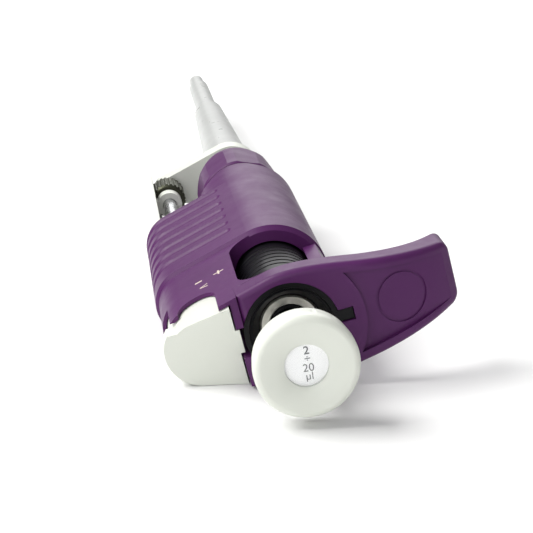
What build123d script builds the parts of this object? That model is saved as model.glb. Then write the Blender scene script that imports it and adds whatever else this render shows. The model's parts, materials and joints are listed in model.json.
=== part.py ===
"""Adjustable single-channel micropipette, 2 to 20 microlitres, lying on its side on a bench.

Every piece is drawn in the pipette's own axes and then laid down:
    X  towards the finger rest,
    Y  sideways,
    Z  up the spindle towards the push button, with 0 at the end of the tip cone.
Millimetres throughout. The counter stands at 10 microlitres.
"""

import os
from math import asin, cos, degrees, pi, radians, sin

from build123d import *

# ---------------------------------------------------------------- driving dimensions
LENGTH = 258.0  # tip cone to push button

# Handle section: a round barrel and a smaller round ejector side, joined by tangent flats.
BARREL_R = 11.0
EJECTOR_R = 7.0
EJECTOR_X = -16.3  # axis of the ejector rod
WALL = 1.8
LIE_ANGLE = degrees(asin((BARREL_R - EJECTOR_R) / -EJECTOR_X))  # flat down on the bench

# Levels along the spindle.
PLATE_TOP = 238.0
PLATE_UNDER = 233.0
GRIP_TOP = 208.5
GRIP_BORE_TOP = 203.0
EJECTOR_SIDE_END = 165.0
SHOULDER_TOP = 157.0
NECK = 150.0
SPIGOT_END = 138.0
NUT_TOP = 147.6
NUT_END = 130.0
CARRIER_END = 115.0
SLEEVE_TOP = 121.0
SLEEVE_STEP = 49.0
SLEEVE_END = 12.0
CONE_TOP = 52.0
CONE_SEAT = 9.0

# Volume setting.
SLIDE_GAP = 0.05  # radial running clearance
WHEEL_R = 7.7
HEX_FLATS = 4.6
STEM_HEX_TOP = 242.0  # clear of the sleeve at the lowest setting, pressed
SLEEVE_R = 4.2
DRUM_R = 8.5
DRUM_H = 6.0
DRUM_GAP = 0.3
DRUM_Z = 178.0

# Plunger.
BUTTON_R = 9.1
BUTTON_H = 6.0
LABEL_R = 3.8
CUP_R = 6.6
CUP_TOP = 163.95
CUP_FLOOR = 147.0
ROD_R = 1.6
HEAD_Z = 126.0
PISTON_R = 0.75
PISTON_END = 24.0
SEAL_Z = 78.0

# Ejector.
TRIM_WHEEL_Z = 122.0
TRIM_WHEEL_H = 7.6
EJECT_ROD_R = 1.5
EJECT_ROD_TOP = 228.0
SCOOP_R = 28.0
SCOOP_LOW = 235.2
SCOOP_HEADING = 56.0  # from the finger rest's direction, where the scoop climbs to its peak
SCOOP_SHIFT = -5.0

# Finger rest: its upper face runs out level, then slopes and curls towards the tip.
REST_THICK = 4.6
REST_ROUND = 1.2
REST_RIM = 1.9
REST_CHANNEL = 1.0  # depth of the channel at the boss
REST_CHANNEL_R = 28.5  # flatter than the curl, so the channel fades out at the end
REST_KNEE_X = 13.0
REST_CURL_R = 25.0
REST_CURL = 47.0
REST_LEFT_X = -8.2
REST_END_X = 31.3
REST_PAD_X = 20.5
REST_PAD_R = 4.8
BOSS_R = 13.5
RING_R = 8.6

# ---------------------------------------------------------------- shared shapes


def rod(radius, low, high, x=0.0, y=0.0):
    """Solid cylinder between two levels."""
    return Pos(x, y, low) * Cylinder(radius, high - low, align=(Align.CENTER, Align.CENTER, Align.MIN))


def tube(outer, inner, low, high, x=0.0, y=0.0):
    """Plain ring between two levels."""
    return rod(outer, low, high, x, y) - rod(inner, low - 1, high + 1, x, y)


def slab(x0, x1, y0, y1, z0, z1):
    """Box between two corners."""
    return Pos((x0 + x1) / 2, (y0 + y1) / 2, (z0 + z1) / 2) * Box(x1 - x0, y1 - y0, z1 - z0)


def turned(points):
    """Solid of revolution about the spindle from (radius, level) points."""
    return revolve(Plane.XZ * make_face(Polyline(*points, close=True)), Axis.Z)


def handle_section(inset=0.0):
    """The handle's outline: barrel circle, ejector circle and their two tangents."""
    barrel = Circle(BARREL_R - inset)
    ejector = Pos(EJECTOR_X, 0) * Circle(EJECTOR_R - inset)
    return make_hull(barrel.edges() + ejector.edges())


def handle_prism(low, high, inset=0.0):
    """The handle's outline between two levels."""
    return extrude(Pos(0, 0, low) * handle_section(inset), high - low)


def hexagon(flats, low, high):
    """Hexagonal bar on the spindle."""
    return extrude(Pos(0, 0, low) * RegularPolygon(flats / 2, 6, major_radius=False), high - low)


def coil(mean_r, wire_r, low, high, turns, x=0.0):
    """Compression spring between two levels, wire inside those levels."""
    height = high - low - 2 * wire_r
    path = Helix(pitch=height / turns, height=height, radius=mean_r)
    path = Pos(x, 0, low + wire_r) * path
    section = Plane(origin=path @ 0, z_dir=path % 0) * Circle(wire_r)
    return sweep(section, path=path, is_frenet=True)


def thread_grooves(body, radius, low, high, pitch, depth, x=0.0):
    """Cuts plain ring grooves that stand for a screw thread."""
    level = low + pitch / 2
    while level < high:
        ring = [(radius + 1, level - pitch / 2), (radius - depth, level), (radius + 1, level + pitch / 2)]
        body -= Pos(x, 0, 0) * turned(ring)
        level += pitch
    return body


def flutes(count, ring_r, flute_r, low, high, x=0.0):
    """Ring of round cutters for finger flutes or knurling."""
    step = 2 * pi / count
    cutters = [
        rod(flute_r, low, high, x + ring_r * cos(i * step), ring_r * sin(i * step)) for i in range(count)
    ]
    return Compound(cutters)


# ---------------------------------------------------------------- handle
GRIP_RIBS = 7
RIB_PITCH = 5.2
RIB_FIRST = GRIP_TOP - 8.0
RIB_TUBE_R = 1.9
RIB_DEPTH = 0.55
RIB_INNER_X = -6.8
WINDOW_HALF = 2.7
WINDOW_TURN = -140.0  # from the sideways axis, on the finger rest's side
WINDOW_LOW = DRUM_Z - 0.6
WINDOW_HIGH = DRUM_Z + 3 * DRUM_H + 2 * DRUM_GAP + 0.6


def window_box(grow):
    """Radial box through the wall where the counter is read."""
    half = WINDOW_HALF + grow
    box = slab(-half, half, 5, BARREL_R + 1, WINDOW_LOW - grow, WINDOW_HIGH + grow)
    return Rot(0, 0, WINDOW_TURN) * box


def rib_groove(level):
    """Round-bottomed groove round the ejector side of the grip."""
    out = RIB_TUBE_R - RIB_DEPTH
    lean = asin((BARREL_R - EJECTOR_R) / -EJECTOR_X)
    round_r = EJECTOR_R + out
    corner = Vector(EJECTOR_X - round_r * sin(lean), round_r * cos(lean))
    along = (RIB_INNER_X - corner.X) / cos(lean)
    start = Vector(RIB_INNER_X, corner.Y + along * sin(lean))
    path = Wire([
        Line((start.X, start.Y), (corner.X, corner.Y)),
        ThreePointArc((corner.X, corner.Y), (EJECTOR_X - round_r, 0), (corner.X, -corner.Y)),
        Line((corner.X, -corner.Y), (start.X, -start.Y)),
    ])
    path = Pos(0, 0, level) * path
    section = Plane(origin=path @ 0, z_dir=path % 0) * Circle(RIB_TUBE_R)
    groove = sweep(section, path=path)
    for side in (start.Y, -start.Y):
        groove += Pos(start.X, side, level) * Sphere(RIB_TUBE_R)
    return groove


def grip():
    """Main moulding: ribbed grip with barrel, ejector side, neck and threaded spigot."""
    body = handle_prism(EJECTOR_SIDE_END, GRIP_TOP)
    body = fillet(body.faces().sort_by(Axis.Z)[0].edges(), 2.5)
    body = chamfer(body.faces().sort_by(Axis.Z)[-1].edges(), 0.9)
    barrel = [
        (0, SPIGOT_END), (8.1, SPIGOT_END), (8.1, NECK - 1.6), (9.2, NECK - 1.6), (9.2, NECK + 1.2),
        (9.6, NECK + 3.0), (BARREL_R, SHOULDER_TOP), (BARREL_R, GRIP_TOP - 6), (0, GRIP_TOP - 6),
    ]
    body += turned(barrel)
    for i in range(GRIP_RIBS):
        body -= rib_groove(RIB_FIRST - i * RIB_PITCH)
    body -= handle_prism(EJECTOR_SIDE_END + 3, GRIP_BORE_TOP, WALL)
    bore = [
        (0, SPIGOT_END - 1), (6.95, SPIGOT_END - 1), (6.95, NECK + 4), (BARREL_R - WALL, SHOULDER_TOP + 1),
        (BARREL_R - WALL, GRIP_BORE_TOP), (WHEEL_R + 0.35, GRIP_BORE_TOP), (WHEEL_R + 0.35, GRIP_TOP + 1),
        (0, GRIP_TOP + 1),
    ]
    body -= turned(bore)
    body -= rod(2.4, GRIP_BORE_TOP - 1, GRIP_TOP + 1, EJECTOR_X)
    body -= rod(EJECT_ROD_R + 0.2, EJECTOR_SIDE_END - 1, EJECTOR_SIDE_END + 4, EJECTOR_X)
    body -= window_box(0)
    return thread_grooves(body, 8.1, SPIGOT_END + 0.6, NUT_TOP - 2, 1.2, 0.35)


def display_window():
    """Clear curved pane in the grip's side, over the counter drums."""
    pane = tube(BARREL_R - 0.15, BARREL_R - 1.4, WINDOW_LOW + 0.05, WINDOW_HIGH - 0.05)
    return pane & window_box(-0.05)


EJECTOR_SHAFT_X = -9.6  # inner wall of the ejector button's shaft
HOUSING_X = -7.0
WHEEL_DOOR_R = 4.6
HOUSING_INSET = 0.6
SHAFT_INSET = 1.3
CAP_UNDER = 231.6
HOUSING_RIM = CAP_UNDER - 9.3  # low wall, clear of the pressed cap
HIGH_WALL_Y = 4.5
NOTCH_X = -15.4  # thumb notch in the high wall
NOTCH_Z = 230.4
NOTCH_R = 3.7


def wheel_door():
    """Round-cornered opening that shows the setting wheel."""
    height = PLATE_UNDER - GRIP_TOP
    outline = RectangleRounded(2 * height, height, WHEEL_DOOR_R)
    return extrude(Plane.XZ * Pos(HOUSING_X + height, GRIP_TOP + height / 2) * outline, 20, both=True)


def ejector_housing():
    """Upper moulding on the ejector side, which guides the ejector button."""
    low, high = GRIP_TOP, PLATE_TOP
    body = handle_prism(low, high, HOUSING_INSET) & slab(-30, REST_LEFT_X - 0.02, -12, 12, low, high)
    wall = handle_prism(low, PLATE_UNDER, HOUSING_INSET)
    body += wall & slab(-9, HOUSING_X + WHEEL_DOOR_R, -12, 12, low, PLATE_UNDER) - wheel_door()
    body -= rod(WHEEL_R + 0.65, low - 1, high + 1)
    shaft_side = slab(-30, EJECTOR_SHAFT_X, -12, 12, low, high + 1)
    body -= handle_prism(low + 2.5, high + 1, SHAFT_INSET) & shaft_side
    body -= slab(-10.5, -8.0, -2.8, 2.8, HOUSING_RIM - 5.5, high + 1)
    body -= rod(EJECT_ROD_R + 0.2, low - 1, low + 3, EJECTOR_X)
    body -= slab(-30, EJECTOR_SHAFT_X, -12, HIGH_WALL_Y, HOUSING_RIM, high + 1)
    notch = Pos(NOTCH_X, 0, NOTCH_Z) * Rot(90, 0, 0) * Cylinder(NOTCH_R, 30)
    return body - notch - slab(-30, NOTCH_X + NOTCH_R, -15, 15, NOTCH_Z, high + 1)


def rest_side(depth, curl_r=None):
    """Solid under the finger rest's upper face, that face moved inwards by a depth."""
    start, knee = (-40, PLATE_TOP - depth), (REST_KNEE_X, PLATE_TOP - depth)
    curl = JernArc(knee, (1, 0), curl_r or REST_CURL_R - depth, -REST_CURL)
    tail = Line(curl @ 1, (curl @ 1) + (curl % 1) * 8.0)
    corner = tail @ 1
    below = Polyline((corner.X, corner.Y), (corner.X, 190), (-40, 190), start)
    profile = make_face(Wire([Line(start, knee), curl, tail] + below.edges()))
    return extrude(Plane.XZ * profile, 20, both=True)


def rest_plan(inset=0.0, end_x=REST_END_X):
    """Plan of the finger rest as a tall prism, seen down the spindle."""
    lean = radians(LIE_ANGLE)
    radius = BARREL_R - 0.5 - inset
    left = (REST_LEFT_X, (radius + REST_LEFT_X * sin(lean)) / cos(lean))
    tangent = (-radius * sin(lean), radius * cos(lean))
    mid, end = (14.0, 9.1 - inset), (end_x, 5.8 - inset)
    side = [Line(left, tangent), Spline(tangent, mid, end, tangents=[(cos(lean), sin(lean)), (1, -0.2)])]
    mirrored = [edge.mirror(Plane.XZ) for edge in side]
    ends = [Line(end, (end_x, -end[1])), Line((REST_LEFT_X, -left[1]), left)]
    return extrude(Pos(0, 0, 200) * make_face(Wire(side + mirrored + ends)), 45)


def rest_level(x):
    """Height of the finger rest's upper face above the tip, at a distance from the spindle."""
    past = min(max(x - REST_KNEE_X, 0), REST_CURL_R * sin(radians(REST_CURL)))
    return PLATE_TOP - REST_CURL_R + (REST_CURL_R ** 2 - past ** 2) ** 0.5


def finger_rest():
    """Plate round the spindle with the curled finger rest and its strut."""
    plan = rest_plan()
    plan = fillet([e for e in plan.edges().filter_by(Axis.Z) if e.center().X > REST_END_X - 1], 2.4)
    body = plan & (rest_side(0) - rest_side(REST_THICK))
    rim = [e for e in body.edges() if e.center().Z > rest_level(e.center().X) - 0.3]
    body = fillet(rim, REST_ROUND)
    body += plan & slab(REST_LEFT_X, 12, -9.0, 9.0, PLATE_UNDER, PLATE_TOP - 2)
    channel = rest_plan(REST_RIM, REST_END_X + 1) - rod(BOSS_R, 190, 250)
    body -= channel & (rest_side(-0.5) - rest_side(REST_CHANNEL, REST_CHANNEL_R))
    pad = rod(REST_PAD_R, 190, 250, REST_PAD_X) - rod(REST_PAD_R - 0.45, 190, 250, REST_PAD_X)
    body -= pad & (rest_side(-0.5) - rest_side(REST_CHANNEL + 0.25, REST_CHANNEL_R))
    strut = tube(BARREL_R - 0.3, WHEEL_R + 0.65, GRIP_TOP, PLATE_UNDER + 0.5)
    body += strut & slab(7, 12, -5.0, 5.0, 200, 240)
    body -= rod(RING_R + 0.1, PLATE_UNDER, PLATE_TOP + 1)
    return body - slab(RING_R - 1, 11.4, -1.25, 1.25, PLATE_TOP - 2.6, PLATE_TOP + 1)


def lock_ring():
    """Black bezel in the finger rest's plate, keyed against turning."""
    top, under = PLATE_TOP - 0.3, PLATE_UNDER
    ring = turned([
        (RING_R, under), (RING_R, top), (7.7, top), (7.5, top - 0.5), (7.0, top - 0.7),
        (5.5, PLATE_UNDER + 1.6), (5.5, under),
    ])
    return ring + slab(RING_R - 0.6, 11.25, -1.0, 1.0, PLATE_TOP - 2.55, top - 0.1)


def calibration_ring():
    """Bright ring nut that sets the calibration."""
    return turned([
        (5.45, PLATE_UNDER), (5.45, PLATE_UNDER + 1.9), (5.2, PLATE_UNDER + 2.2), (3.95, PLATE_UNDER + 2.2),
        (3.75, PLATE_UNDER + 1.9), (3.75, PLATE_UNDER),
    ])


def stem_bush():
    """Dark guide bush that the button's stem slides in."""
    low, high = PLATE_UNDER - 2.0, PLATE_UNDER + 1.8
    return turned([(3.7, low), (3.7, high - 0.2), (3.5, high), (3.05, high), (3.05, low)])


def bush_carrier():
    """Disc under the plate that holds the bush and the calibration ring."""
    return tube(WHEEL_R + 0.55, 3.75, PLATE_UNDER - 2.0, PLATE_UNDER)


# ---------------------------------------------------------------- counter and stroke setting
FRAME_LOW = 175.0
FRAME_HIGH = 201.5


def counter_frame():
    """Chassis tube round the drums, with its two bearing plates and the nut's key slots."""
    shell = tube(BARREL_R - WALL - 0.1, DRUM_R + 0.25, 158.5, FRAME_HIGH)
    plates = tube(DRUM_R + 0.3, SLEEVE_R + SLIDE_GAP, FRAME_LOW, FRAME_LOW + 1.6)
    plates += tube(DRUM_R + 0.3, SLEEVE_R + SLIDE_GAP, FRAME_HIGH - 1.6, FRAME_HIGH)
    body = shell + plates
    body -= window_box(0.3)
    body -= slab(-10, 10, -1.1, 1.1, 158, FRAME_LOW - 0.2)
    return body


def frame_screws():
    """Three small screws in the top bearing plate."""
    screws = []
    for i in range(3):
        angle = radians(30 + 120 * i)
        x, y = 6.5 * cos(angle), 6.5 * sin(angle)
        head = rod(1.0, FRAME_HIGH + 0.02, FRAME_HIGH + 0.9, x, y)
        screws.append(head - slab(x - 1.2, x + 1.2, y - 0.15, y + 0.15, FRAME_HIGH + 0.5, FRAME_HIGH + 1.5))
    return Compound(screws)


def thumbwheel():
    """Black setting wheel between the grip and the finger rest."""
    top, low = GRIP_TOP + 17.0, GRIP_BORE_TOP + 0.3
    wheel = turned([
        (SLEEVE_R, low), (WHEEL_R - 0.1, low), (WHEEL_R - 0.1, GRIP_TOP + 0.4), (WHEEL_R, GRIP_TOP + 0.6),
        (WHEEL_R, top - 0.8), (WHEEL_R - 0.8, top), (5.4, top), (5.4, top - 1.2), (SLEEVE_R, top - 1.2),
    ])
    return thread_grooves(wheel, WHEEL_R, GRIP_TOP + 2.2, GRIP_TOP + 14.5, 2.1, 0.45)


def setting_sleeve():
    """Spindle that the wheel turns: hexagon bore for the stem, thread for the stop nut."""
    return rod(SLEEVE_R, 158.0, GRIP_TOP + 19.0) - hexagon(HEX_FLATS + 0.2, 150, 240)


def friction_ring():
    """Rubber ring that holds the setting."""
    level = FRAME_HIGH + 0.6
    return Pos(0, 0, level) * Torus(SLEEVE_R + 0.48, 0.45)


def drum(index):
    """One counter drum, open inside, carried on a thin web."""
    low = DRUM_Z + index * (DRUM_H + DRUM_GAP)
    hub_r = SLEEVE_R if index == 0 else SLEEVE_R + SLIDE_GAP
    shell = tube(DRUM_R, DRUM_R - 0.9, low, low + DRUM_H)
    web = tube(DRUM_R - 0.5, hub_r, low + 2.2, low + 3.6)
    hub = tube(hub_r + 0.9, hub_r, low + 0.1, low + DRUM_H - 0.1)
    return shell + web + hub


def stop_nut():
    """Nut that climbs the setting sleeve and sets where the plunger starts."""
    nut = tube(7.4, SLEEVE_R + SLIDE_GAP, CUP_TOP + 0.05, CUP_TOP + 5.05)
    lugs = slab(-9.0, 9.0, -1.0, 1.0, CUP_TOP + 0.05, CUP_TOP + 5.05) - rod(7.0, 150, 180)
    return nut + (lugs & rod(9.05, 150, 180))


# ---------------------------------------------------------------- plunger
def push_button():
    """White thumb cap, dished, with a seat for the label and a socket for the stem."""
    top, low = LENGTH, LENGTH - BUTTON_H
    half = Plane.XZ * make_face(Wire([
        Line((0, low + 1.6), (5.0, low + 1.6)),
        Line((5.0, low + 1.6), (5.0, low)),
        Line((5.0, low), (BUTTON_R - 0.9, low)),
        RadiusArc((BUTTON_R - 0.9, low), (BUTTON_R - 0.25, low + 0.8), -0.8),
        Line((BUTTON_R - 0.25, low + 0.8), (BUTTON_R, low + 3.4)),
        Line((BUTTON_R, low + 3.4), (BUTTON_R, top - 1.2)),
        ThreePointArc((BUTTON_R, top - 1.2), (BUTTON_R - 0.35, top - 0.35), (BUTTON_R - 1.2, top)),
        ThreePointArc((BUTTON_R - 1.2, top), (6.2, top - 0.3), (LABEL_R + 0.35, top - 1.0)),
        Line((LABEL_R + 0.35, top - 1.0), (LABEL_R, top - 1.2)),
        Line((LABEL_R, top - 1.2), (LABEL_R, top - 2.2)),
        Line((LABEL_R, top - 2.2), (0, top - 2.2)),
        Line((0, top - 2.2), (0, low + 1.6)),
    ]))
    cap = revolve(half, Axis.Z)
    cap -= flutes(16, BUTTON_R + 0.75, 0.95, low - 1, top - 2.6)
    cap -= rod(2.7, low, low + 3.0)
    return cap


def button_label():
    """Printed disc in the push button."""
    return rod(LABEL_R - 0.02, LENGTH - 2.18, LENGTH - 1.9)


def label_lens():
    """Clear domed lens over the label."""
    crown, dome_r = LENGTH - 0.75, 16.0
    return rod(LABEL_R - 0.02, LENGTH - 1.88, crown) & Pos(0, 0, crown - dome_r) * Sphere(dome_r)


def button_stem():
    """Stem of the push button: round through the bush, hexagonal in the setting sleeve."""
    round_part = rod(2.7, STEM_HEX_TOP, LENGTH - BUTTON_H + 3.0)
    return round_part + hexagon(HEX_FLATS, CUP_FLOOR + 2.05, STEM_HEX_TOP + 0.5)


def stop_cup():
    """Cup that the nut holds down and the stem bears on."""
    return rod(CUP_R, CUP_FLOOR, CUP_TOP) - rod(4.8, CUP_FLOOR + 2, CUP_TOP + 1)


def piston_rod():
    """Rod from the cup to the piston's head."""
    return rod(ROD_R, HEAD_Z + 2.0, CUP_FLOOR)


def piston_head():
    """Disc that carries the piston and takes the main spring."""
    top = HEAD_Z + 2.0
    return turned([(0, HEAD_Z), (3.35, HEAD_Z), (3.35, top - 0.6), (3.0, top), (0, top)])


def piston():
    """Ground steel piston."""
    return rod(PISTON_R, PISTON_END, HEAD_Z)


def plunger_spring():
    """Main return spring under the piston head."""
    return coil(2.9, 0.3, SEAL_Z + 9.52, HEAD_Z - 0.02, 12)


def blowout_spring():
    """Stiff second-stage spring with its stop plate."""
    spring = coil(5.85, 0.45, 133.25, 139.75, 3)
    plate = tube(6.55, 4.2, 139.8, 141.2)
    return Compound([spring, plate])


# ---------------------------------------------------------------- lower end
def collar_nut():
    """Nut that clamps the shaft to the handle, with eight soft flats."""
    nut = turned([
        (8.2, NUT_TOP), (9.1, NUT_TOP), (9.5, NUT_TOP - 0.6), (9.5, NUT_END + 5), (8.6, NUT_END),
        (5.2, NUT_END), (5.2, NUT_END + 1.5), (8.2, NUT_END + 1.5),
    ])
    grip_flats = extrude(Pos(0, 0, NUT_END - 1) * RegularPolygon(9.15, 8, major_radius=False), 30)
    return nut & grip_flats


def shaft():
    """Piston housing, clamped by the collar nut."""
    outer = [
        (0, CONE_TOP), (3.3, CONE_TOP), (5.0, NUT_END + 1.6), (8.1, NUT_END + 1.6), (8.1, SPIGOT_END),
        (0, SPIGOT_END),
    ]
    body = turned(outer)
    body -= rod(6.8, NUT_END + 3.2, SPIGOT_END + 1)
    body -= rod(3.45, SEAL_Z + 8, SPIGOT_END)
    body -= rod(2.4, SEAL_Z, SEAL_Z + 9)
    body -= rod(1.0, CONE_TOP - 1, SEAL_Z + 1)
    return body


def tip_cone():
    """Nose that the disposable tip pushes onto."""
    outer = turned([
        (0, 0), (1.7, 0), (2.1, 0.9), (2.1, CONE_SEAT), (1.6, CONE_SEAT + 0.5), (1.6, CONE_TOP - 3),
        (2.9, CONE_TOP - 0.02), (0, CONE_TOP - 0.02),
    ])
    return outer - rod(0.95, -1, CONE_TOP + 1)


def piston_seal():
    """Low-friction seal round the piston."""
    return tube(2.38, PISTON_R + 0.02, SEAL_Z + 0.02, SEAL_Z + 3.0)


def seal_ring():
    """Rubber ring that loads the seal."""
    return Pos(0, 0, SEAL_Z + 3.75) * Torus(1.7, 0.66)


def seal_bush():
    """Bush that holds the seal down."""
    return tube(2.38, PISTON_R + 0.1, SEAL_Z + 4.5, SEAL_Z + 8.0)


def spring_seat():
    """Washer that the main spring stands on."""
    return tube(3.43, PISTON_R + 0.15, SEAL_Z + 8.02, SEAL_Z + 9.5)


# ---------------------------------------------------------------- ejector
def ejector_button():
    """White thumb cap of the tip ejector, scooped, on a skirt that slides in its housing."""
    low, high = GRIP_TOP + 12.5, 243.0
    side = slab(-30, EJECTOR_SHAFT_X - 0.3, -12, 12, low, high)
    body = handle_prism(low, high, SHAFT_INSET + 0.2) & side
    body += handle_prism(CAP_UNDER, high, 0.1) & side & slab(-30, 0, -12, HIGH_WALL_Y - 0.3, low, high)
    tongue = slab(-11, -9.1, -2.4, 2.4, CAP_UNDER - 5, high)
    body += tongue
    slope = Pos(EJECTOR_X, 0, SCOOP_LOW + SCOOP_R) * Rot(0, 0, SCOOP_HEADING) * Pos(SCOOP_SHIFT, 0, 0)
    scoop = slope * Rot(90, 0, 0) * Cylinder(SCOOP_R, 60)
    body -= scoop
    body -= slope * Pos(0, 0, 30) * Box(80, 80, 60)
    inner = handle_prism(low - 1, CAP_UNDER - 1, SHAFT_INSET + 1.4)
    body -= inner & slab(-30, EJECTOR_SHAFT_X - 1.7, -12, 12, low - 1, CAP_UNDER)
    body += rod(3.0, low, CAP_UNDER, EJECTOR_X)
    return body - rod(EJECT_ROD_R, low - 1, EJECT_ROD_TOP, EJECTOR_X)


def ejector_rod():
    """Steel rod from the pad to the carrier, with its spring collar and threaded end."""
    body = rod(EJECT_ROD_R, CARRIER_END - 3, EJECT_ROD_TOP, EJECTOR_X)
    body += rod(2.3, GRIP_BORE_TOP - 0.6, GRIP_TOP - 0.2, EJECTOR_X)
    return thread_grooves(body, EJECT_ROD_R, CARRIER_END - 2.6, TRIM_WHEEL_Z + 12, 0.8, 0.2, EJECTOR_X)


def ejector_spring():
    """Return spring of the ejector."""
    return coil(3.2, 0.35, EJECTOR_SIDE_END + 3.02, GRIP_BORE_TOP - 2.02, 11, EJECTOR_X)


def spring_cap():
    """Cup between the ejector spring and the rod's collar."""
    return tube(4.4, EJECT_ROD_R + 0.05, GRIP_BORE_TOP - 2.0, GRIP_BORE_TOP - 0.6, EJECTOR_X)


def carrier():
    """White slider below the grip, holding the trim wheel and the ejector sleeve."""
    top = EJECTOR_SIDE_END - 2.2
    guard = tube(5.3, 4.2, CARRIER_END + 1, top, EJECTOR_X) & slab(-30, EJECTOR_X - 2.6, -8, 8, 100, 170)
    collars = rod(2.9, top - 4, top, EJECTOR_X) + rod(2.9, 130.4, 133.5, EJECTOR_X)
    collars += slab(EJECTOR_X - 4.9, EJECTOR_X, -1.6, 1.6, top - 4, top)
    collars += slab(EJECTOR_X - 4.9, EJECTOR_X, -1.6, 1.6, 130.4, 133.5)
    arm = make_hull(Circle(6.9).edges() + (Pos(EJECTOR_X, 0) * Circle(2.9)).edges())
    arm = extrude(Pos(0, 0, CARRIER_END) * arm, SLEEVE_TOP - CARRIER_END)
    arm = fillet(arm.faces().sort_by(Axis.Z)[0].edges(), 1.2)
    bridge = slab(EJECTOR_X - 4.9, EJECTOR_X, -1.6, 1.6, CARRIER_END + 1, SLEEVE_TOP)
    body = guard + collars + arm + bridge
    body -= rod(5.65, CARRIER_END - 1, SLEEVE_TOP + 1)
    return body - rod(EJECT_ROD_R + 0.1, CARRIER_END - 1, 170, EJECTOR_X)


def trim_wheel():
    """Knurled wheel that trims how far the sleeve reaches."""
    wheel = rod(4.0, TRIM_WHEEL_Z, TRIM_WHEEL_Z + TRIM_WHEEL_H, EJECTOR_X)
    wheel = chamfer(wheel.edges(), 0.5)
    wheel -= flutes(24, 4.05, 0.3, TRIM_WHEEL_Z - 1, TRIM_WHEEL_Z + TRIM_WHEEL_H + 1, EJECTOR_X)
    return wheel - rod(EJECT_ROD_R + 0.05, TRIM_WHEEL_Z - 1, TRIM_WHEEL_Z + TRIM_WHEEL_H + 1, EJECTOR_X)


def ejector_sleeve():
    """Bright tube that pushes the tip off: wide taper, then a narrow end."""
    return turned([
        (5.2, SLEEVE_TOP), (5.6, SLEEVE_TOP), (5.6, CARRIER_END), (3.95, SLEEVE_STEP + 1),
        (3.6, SLEEVE_STEP - 0.6), (2.9, SLEEVE_STEP - 1.2), (2.8, SLEEVE_END), (2.45, SLEEVE_END),
        (2.45, SLEEVE_STEP - 2), (3.5, SLEEVE_STEP), (3.6, SLEEVE_STEP + 2),
    ])


# ---------------------------------------------------------------- assembly
NODES = {
    "grip": grip,
    "display_window": display_window,
    "ejector_housing": ejector_housing,
    "finger_rest": finger_rest,
    "lock_ring": lock_ring,
    "calibration_ring": calibration_ring,
    "stem_bush": stem_bush,
    "bush_carrier": bush_carrier,
    "counter_frame": counter_frame,
    "frame_screws": frame_screws,
    "thumbwheel": thumbwheel,
    "setting_sleeve": setting_sleeve,
    "friction_ring": friction_ring,
    "drum_low": lambda: drum(0),
    "drum_middle": lambda: drum(1),
    "drum_high": lambda: drum(2),
    "stop_nut": stop_nut,
    "push_button": push_button,
    "button_label": button_label,
    "label_lens": label_lens,
    "button_stem": button_stem,
    "stop_cup": stop_cup,
    "piston_rod": piston_rod,
    "piston_head": piston_head,
    "piston": piston,
    "plunger_spring": plunger_spring,
    "blowout_spring": blowout_spring,
    "collar_nut": collar_nut,
    "shaft": shaft,
    "tip_cone": tip_cone,
    "piston_seal": piston_seal,
    "seal_ring": seal_ring,
    "seal_bush": seal_bush,
    "spring_seat": spring_seat,
    "ejector_button": ejector_button,
    "ejector_rod": ejector_rod,
    "ejector_spring": ejector_spring,
    "spring_cap": spring_cap,
    "carrier": carrier,
    "trim_wheel": trim_wheel,
    "ejector_sleeve": ejector_sleeve,
}


def main():
    """Builds every piece, lays the pipette on its flat side and writes the parts."""
    os.makedirs("parts", exist_ok=True)
    lean = radians(LIE_ANGLE)
    lie = Plane(origin=(0, 0, 0), x_dir=(cos(lean), 0, sin(lean)), z_dir=(0, -1, 0)).location
    built = {name: lie * make() for name, make in NODES.items()}
    box = Compound([s for shape in built.values() for s in shape.solids()]).bounding_box()
    shift = Pos(-(box.min.X + box.max.X) / 2, -(box.min.Y + box.max.Y) / 2, -box.min.Z)
    for name, shape in built.items():
        solids = (shift * shape).solids()
        export_step(solids[0] if len(solids) == 1 else Compound(solids), f"parts/{name}.step")


main()
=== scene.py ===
"""Looks of an adjustable micropipette lying on its side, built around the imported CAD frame."""

import json
from math import asin, cos, pi, radians, sin

import bmesh
import bpy
from mathutils import Matrix, Vector


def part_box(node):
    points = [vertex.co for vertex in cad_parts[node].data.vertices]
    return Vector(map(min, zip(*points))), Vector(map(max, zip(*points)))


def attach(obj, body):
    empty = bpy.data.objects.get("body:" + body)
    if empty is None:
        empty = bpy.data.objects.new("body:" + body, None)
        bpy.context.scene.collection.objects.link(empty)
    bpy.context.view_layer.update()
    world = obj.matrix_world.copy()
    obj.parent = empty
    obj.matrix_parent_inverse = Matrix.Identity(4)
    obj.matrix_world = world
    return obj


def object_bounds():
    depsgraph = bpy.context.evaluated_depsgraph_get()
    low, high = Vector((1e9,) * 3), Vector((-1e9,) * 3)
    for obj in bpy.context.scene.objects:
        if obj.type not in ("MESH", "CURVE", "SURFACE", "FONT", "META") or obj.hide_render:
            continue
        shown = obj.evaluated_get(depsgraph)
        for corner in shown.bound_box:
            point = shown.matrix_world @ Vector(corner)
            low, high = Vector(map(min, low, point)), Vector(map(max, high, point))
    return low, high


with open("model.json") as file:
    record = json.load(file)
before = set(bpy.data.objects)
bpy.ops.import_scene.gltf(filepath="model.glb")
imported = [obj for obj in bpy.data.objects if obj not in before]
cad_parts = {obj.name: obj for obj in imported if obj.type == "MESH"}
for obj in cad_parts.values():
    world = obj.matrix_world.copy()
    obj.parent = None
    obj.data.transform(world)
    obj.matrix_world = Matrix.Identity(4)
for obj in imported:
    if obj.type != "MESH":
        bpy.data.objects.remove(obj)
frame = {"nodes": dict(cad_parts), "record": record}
cad_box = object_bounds()
nodes = frame["nodes"]

MM = 0.001

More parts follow.
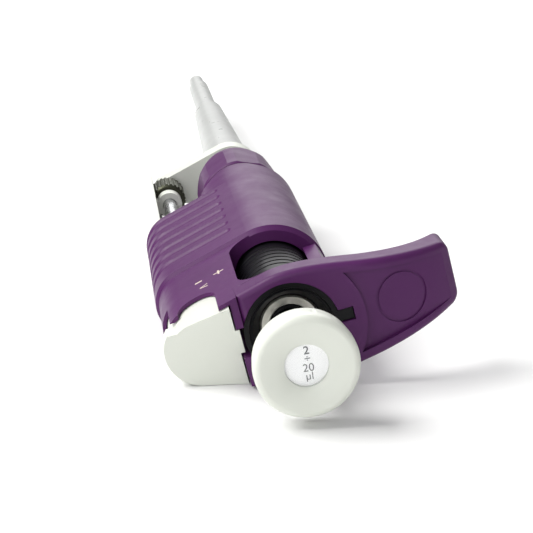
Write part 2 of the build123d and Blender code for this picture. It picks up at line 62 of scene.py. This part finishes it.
# ---------------------------------------------------------------- the pipette's own axes
# h runs from the spindle towards the finger rest, l sideways and up from the bench, u up the spindle
# to the push button. The handle lies on the flat between its barrel and its smaller ejector side.
BARREL_R = 11.0 * MM
EJECTOR_R = 7.0 * MM
EJECTOR_X = -16.3 * MM
HOUSING_INSET = 0.6 * MM
LEAN = asin((BARREL_R - EJECTOR_R) / -EJECTOR_X)
H_AXIS = Vector((cos(LEAN), 0, sin(LEAN)))
L_AXIS = Vector((-sin(LEAN), 0, cos(LEAN)))
U_AXIS = Vector((0, -1, 0))


def centre(node):
    low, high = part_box(node)
    return (Vector(low) + Vector(high)) / 2


SPINDLE = centre("push_button")
TIP_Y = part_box("tip_cone")[1][1]


def at(h, l, z):
    """Point in the row frame from millimetres in the pipette's own axes, z from the tip."""
    base = Vector((SPINDLE.x, TIP_Y, SPINDLE.z))
    return base + (H_AXIS * h + L_AXIS * l + U_AXIS * z) * MM


# ---------------------------------------------------------------- camera
PITCH = radians(16.75)  # down
YAW = radians(6.35)  # to the right
LENS = 116.2
SENSOR = 36.0
FACE_Z = 256.5  # level of the point the camera is placed from, on the push button's face
FACE_RIGHT, FACE_UP, FACE_FAR = 6.68 * MM, -16.48 * MM, 286.7 * MM  # that point as the camera sees it


def add_camera():
    forward = Vector((sin(YAW) * cos(PITCH), cos(YAW) * cos(PITCH), -sin(PITCH)))
    right = Vector((cos(YAW), -sin(YAW), 0))
    up = right.cross(forward)
    face = at(0, 0, FACE_Z)
    data = bpy.data.cameras.new("camera")
    data.lens = LENS
    data.sensor_width = SENSOR
    data.clip_start = 0.01
    camera = bpy.data.objects.new("camera", data)
    m = Matrix((right, up, -forward)).transposed().to_4x4()
    m.translation = face - right * FACE_RIGHT - up * FACE_UP - forward * FACE_FAR
    camera.matrix_world = m
    bpy.context.collection.objects.link(camera)
    bpy.context.scene.camera = camera


# ---------------------------------------------------------------- light and floor
WORLD_STRENGTH = 0.30
FLOOR_HALF = 6.0
LIGHTS = [  # name, place, target, size, power, colour
    ("key", (-0.62, 0.03, 0.74), (0, -0.05, 0), 0.6, 11.0, (1.0, 0.995, 0.98)),
    ("fill", (-0.30, -0.8, 0.30), (0, -0.1, 0.01), 0.6, 2.6, (0.98, 0.99, 1.0)),
    ("back", (0.15, 0.85, 0.6), (0, 0.05, 0), 0.8, 4.5, (1, 1, 1)),
]


def add_light(name, place, target, size, power, colour):
    data = bpy.data.lights.new(name, "AREA")
    data.size = size
    data.energy = power
    data.color = colour
    light = bpy.data.objects.new(name, data)
    light.location = place
    aim = Vector(target) - Vector(place)
    light.rotation_euler = aim.to_track_quat("-Z", "Y").to_euler()
    bpy.context.collection.objects.link(light)


def add_stage():
    world = bpy.data.worlds.new("studio")
    bpy.context.scene.world = world
    bpy.context.scene.view_settings.view_transform = "Standard"
    world.use_nodes = True
    background = world.node_tree.nodes["Background"]
    background.inputs["Color"].default_value = (1.0, 1.0, 1.0, 1)
    background.inputs["Strength"].default_value = WORLD_STRENGTH
    mesh = bpy.data.meshes.new("floor")
    half = FLOOR_HALF
    corners = [(-half, -half, 0), (half, -half, 0), (half, half, 0), (-half, half, 0)]
    mesh.from_pydata(corners, [], [(0, 1, 2, 3)])
    floor = bpy.data.objects.new("floor", mesh)
    floor.location.z = cad_box[0][2]
    bpy.context.collection.objects.link(floor)
    floor.data.materials.append(floor_material())
    for light in LIGHTS:
        add_light(*light)


# ---------------------------------------------------------------- materials
class Shader:
    """A principled material and short calls for the nodes that feed it."""

    def __init__(self, name, roughness=0.5, **sockets):
        self.material = bpy.data.materials.new(name)
        self.material.use_nodes = True
        self.tree = self.material.node_tree
        self.main = self.tree.nodes["Principled BSDF"]
        self.main.inputs["Roughness"].default_value = roughness
        for key, value in sockets.items():
            self.main.inputs[key.replace("_", " ")].default_value = value
        self.place = self.add("ShaderNodeTexCoord").outputs["Object"]

    def add(self, kind, **settings):
        node = self.tree.nodes.new(kind)
        for key, value in settings.items():
            if key in node.inputs:
                node.inputs[key].default_value = value
            else:
                setattr(node, key, value)
        return node

    def link(self, source, target):
        self.tree.links.new(source, target)

    def noise(self, scale, detail=3.0, roughness=0.5):
        node = self.add("ShaderNodeTexNoise", Scale=scale, Detail=detail, Roughness=roughness)
        self.link(self.place, node.inputs["Vector"])
        return node.outputs["Fac"]

    def ramp(self, value, stops):
        node = self.add("ShaderNodeValToRGB")
        elements = node.color_ramp.elements
        while len(elements) < len(stops):
            elements.new(0.5)
        for element, (where, colour) in zip(elements, stops):
            element.position = where
            element.color = (*colour, 1)
        self.link(value, node.inputs["Fac"])
        return node.outputs["Color"]

    def remap(self, value, low, high, to_low, to_high):
        node = self.add("ShaderNodeMapRange")
        for key, number in zip(("From Min", "From Max", "To Min", "To Max"), (low, high, to_low, to_high)):
            node.inputs[key].default_value = number
        self.link(value, node.inputs["Value"])
        return node.outputs["Result"]

    def bump(self, value, strength, distance):
        node = self.add("ShaderNodeBump", Strength=strength, Distance=distance)
        self.link(value, node.inputs["Height"])
        if self.main.inputs["Normal"].is_linked:
            self.link(self.main.inputs["Normal"].links[0].from_socket, node.inputs["Normal"])
        self.link(node.outputs["Normal"], self.main.inputs["Normal"])


def shade(colour, factor):
    """The colour made lighter or darker, held to what a surface can reflect."""
    return tuple(min(1.0, c * factor) for c in colour)


def moulded(name, colour, roughness, grain=0.04, mottling=0.05, **sockets):
    """Moulded plastic: fine spark grain, faint flow mottling and handling marks in the gloss."""
    s = Shader(name, roughness, **sockets)
    flow = s.noise(55.0, 4.0)
    s.link(s.ramp(flow, [(0.3, shade(colour, 1 - mottling)), (0.7, shade(colour, 1 + mottling))]),
           s.main.inputs["Base Color"])
    s.link(s.remap(s.noise(180.0, 5.0, 0.6), 0.3, 0.7, roughness - 0.06, roughness + 0.08),
           s.main.inputs["Roughness"])
    s.bump(s.noise(5200.0, 2.0), grain, 0.00006)
    s.bump(s.noise(240.0, 2.0), 0.05, 0.0002)
    return s.material


RING_RADIAN = 0.35 * MM  # one radian of the ring pattern
WAVE_RADIANS = 20  # the wave texture turns this far over a length of 1 / scale


def turned_metal(name, colour, roughness):
    """Machined metal with soft rings round the spindle."""
    s = Shader(name, roughness, Metallic=1.0)
    s.link(s.ramp(s.noise(300.0, 4.0), [(0.3, shade(colour, 0.88)), (0.7, shade(colour, 1.08))]),
           s.main.inputs["Base Color"])
    wave_scale = 1 / (RING_RADIAN * WAVE_RADIANS)
    wave = s.add("ShaderNodeTexWave", Scale=wave_scale, Distortion=0.4, bands_direction="Y")
    s.link(s.place, wave.inputs["Vector"])
    s.link(s.remap(s.noise(900.0, 3.0), 0.3, 0.7, roughness - 0.06, roughness + 0.1),
           s.main.inputs["Roughness"])
    s.bump(wave.outputs["Fac"], 0.15, 0.00003)
    return s.material


def clear(name):
    """Thin clear plastic: little more than its gloss."""
    s = Shader(name, 0.05, IOR=1.47, Alpha=0.10)
    s.link(s.ramp(s.noise(60.0), [(0.3, (0.90, 0.92, 0.92)), (0.7, (0.96, 0.97, 0.97))]),
           s.main.inputs["Base Color"])
    s.link(s.remap(s.noise(700.0, 4.0), 0.4, 0.7, 0.03, 0.10), s.main.inputs["Roughness"])
    return s.material


def floor_material():
    """White paper, barely mottled."""
    s = Shader("paper", 0.6)
    s.link(s.ramp(s.noise(3.0), [(0.3, (0.90, 0.90, 0.90)), (0.7, (0.92, 0.92, 0.92))]),
           s.main.inputs["Base Color"])
    return s.material


PURPLE = (0.080, 0.014, 0.094)
WHITE = (0.68, 0.70, 0.635)

materials = {
    "purple_plastic": moulded("purple", PURPLE, 0.42, 0.10, 0.07, Specular_IOR_Level=0.28),
    "white_plastic": moulded("white", WHITE, 0.38, 0.05, 0.015),
    "black_plastic": moulded("black", (0.005, 0.005, 0.006), 0.36, 0.06, 0.2, Specular_IOR_Level=0.18),
    "shaft_plastic": moulded("pearl", (0.44, 0.45, 0.44), 0.32, 0.05, 0.03),
    "ring_aluminium": turned_metal("aluminium", (0.78, 0.76, 0.70), 0.36),
    "steel": turned_metal("steel", (0.55, 0.56, 0.57), 0.25),
    "spring_steel": turned_metal("drawn_steel", (0.42, 0.42, 0.43), 0.35),
    "brass": turned_metal("brass", (0.66, 0.47, 0.19), 0.30),
    "olive_knob": turned_metal("olive", (0.075, 0.078, 0.055), 0.45),
    "rubber": moulded("rubber", (0.018, 0.018, 0.019), 0.75, 0.2, 0.2),
    "label": moulded("label", (0.97, 0.97, 0.97), 0.55, 0.02, 0.01),
    "clear": clear("clear"),
    "drum_plastic": moulded("drum", (0.80, 0.80, 0.77), 0.45, 0.03, 0.02),
}
ink_grey = moulded("ink_grey", (0.11, 0.11, 0.115), 0.6, 0.02, 0.1)
ink_cream = moulded("ink_cream", (0.62, 0.52, 0.44), 0.6, 0.02, 0.1)
ink_black = moulded("ink_black", (0.02, 0.02, 0.02), 0.6, 0.02, 0.1)

slots = {part["node"]: part["material_slot"] for part in frame["record"]["subparts"]}


def paint_nodes():
    for name, obj in nodes.items():
        finish = materials[slots[name]]
        if obj.material_slots:
            for place in obj.material_slots:
                place.material = finish
        else:
            obj.data.materials.append(finish)


# ---------------------------------------------------------------- moulded edges
SOFT_EDGES = {"finger_rest": 0.35, "ejector_button": 0.45, "push_button": 0.25, "ejector_housing": 0.2,
              "grip": 0.3, "carrier": 0.3, "collar_nut": 0.3}  # widest rounding in millimetres


def soften_edges():
    """Rounds the moulded edges a little; the outline stays."""
    for name, width in SOFT_EDGES.items():
        bevel = nodes[name].modifiers.new("soft", "BEVEL")
        bevel.width = width * MM
        bevel.segments = 3
        bevel.limit_method = "ANGLE"
        bevel.angle_limit = radians(35)
        bevel.harden_normals = True


# ---------------------------------------------------------------- printed words
def text_piece(name, words, size, matrix, body, material, weight=0.0):
    """Printed characters as thin raised ink."""
    curve = bpy.data.curves.new(name, "FONT")
    curve.body = words
    curve.size = size
    curve.align_x = "CENTER"
    curve.align_y = "CENTER"
    curve.extrude = 0.01 * MM
    curve.offset = weight
    piece = bpy.data.objects.new(name, curve)
    piece.matrix_world = matrix
    curve.materials.append(material)
    bpy.context.collection.objects.link(piece)
    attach(piece, body)


def facing(origin, right, out):
    """Matrix with local X along right and local Z along out."""
    right, out = right.normalized(), out.normalized()
    m = Matrix((right, out.cross(right), out)).transposed().to_4x4()
    m.translation = origin
    return m


LABEL_TURN = radians(8)  # the button stands a little turned
LABEL_SHIFT = 0.3 * MM  # the print sits off the button's centre

def print_label():
    """The range and unit, read down the label."""
    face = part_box("button_label")[0][1] - 0.03 * MM
    middle = Vector((SPINDLE.x, face, SPINDLE.z))
    right = Vector((cos(LABEL_TURN), 0, sin(LABEL_TURN)))
    down = Vector((sin(LABEL_TURN), 0, -cos(LABEL_TURN)))
    rows = [("range_low", "2", -2.45, 2.0, 0.03), ("range_sign", "÷", -0.95, 2.0, 0.0),
            ("range_high", "20", 0.65, 2.0, 0.0), ("unit", "µl", 2.15, 1.9, 0.0)]
    for name, words, offset, size, weight in rows:
        place = facing(middle + right * LABEL_SHIFT + down * offset * MM, right, Vector((0, -1, 0)))
        text_piece(name, words, size * MM, place, "button", ink_grey, weight=weight * MM)


def print_marks():
    """Generic setting marks on the flat side of the ejector housing."""
    along = (H_AXIS * cos(LEAN) + L_AXIS * sin(LEAN)).normalized()
    out = (L_AXIS * cos(LEAN) - H_AXIS * sin(LEAN)).normalized()
    marks = [("mark_less", "-", 4.0, 219.0, 6.0), ("mark_more", "+", 8.2, 220.0, 4.4),
             ("mark_turn", "<", 4.8, 223.4, 3.4)]
    for name, words, step, z, size in marks:
        origin = at(EJECTOR_X / MM, 0, z) + out * (EJECTOR_R - HOUSING_INSET) + along * step * MM
        text_piece(name, words, size * MM, facing(origin, along, out), "handle", ink_cream)


# ---------------------------------------------------------------- counter
WINDOW_ANGLE = radians(-50)  # from the finger rest's direction
DIGIT_SIZE = 4.6 * MM


def print_drum(node, body, values, shown):
    """The numbers round one counter drum, the shown one under the window."""
    low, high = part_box(node)
    radius = (high[0] - low[0]) / 2
    z = (TIP_Y - (low[1] + high[1]) / 2) / MM
    build = bmesh.new()
    for step, value in enumerate(values):
        angle = WINDOW_ANGLE - (step - shown) * 2 * pi / len(values)
        out = H_AXIS * cos(angle) + L_AXIS * sin(angle)
        curve = bpy.data.curves.new("digit", "FONT")
        curve.body = value
        curve.size = DIGIT_SIZE
        curve.align_x = "CENTER"
        curve.align_y = "CENTER"
        curve.extrude = 0.02 * MM
        digit = bpy.data.objects.new("digit", curve)
        bpy.context.collection.objects.link(digit)
        bpy.context.view_layer.update()
        mesh = bpy.data.meshes.new_from_object(digit.evaluated_get(bpy.context.evaluated_depsgraph_get()))
        mesh.transform(facing(at(0, 0, z) + out * radius, U_AXIS.cross(out), out))
        build.from_mesh(mesh)
        bpy.data.objects.remove(digit)
    piece_mesh = bpy.data.meshes.new(node + "_numbers")
    build.to_mesh(piece_mesh)
    build.free()
    piece_mesh.materials.append(ink_black)
    piece = bpy.data.objects.new(node + "_numbers", piece_mesh)
    bpy.context.collection.objects.link(piece)
    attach(piece, body)


def print_counter():
    """Ten microlitres: one in the tens, nought in the units and nought in the fifths."""
    print_drum("drum_high", "counter_high", "0123456789", 1)
    print_drum("drum_middle", "counter_middle", "0123456789", 0)
    print_drum("drum_low", "setting", "0246802468", 0)


# ---------------------------------------------------------------- the whole scene
add_camera()
add_stage()
paint_nodes()
soften_edges()
print_label()
print_marks()
print_counter()
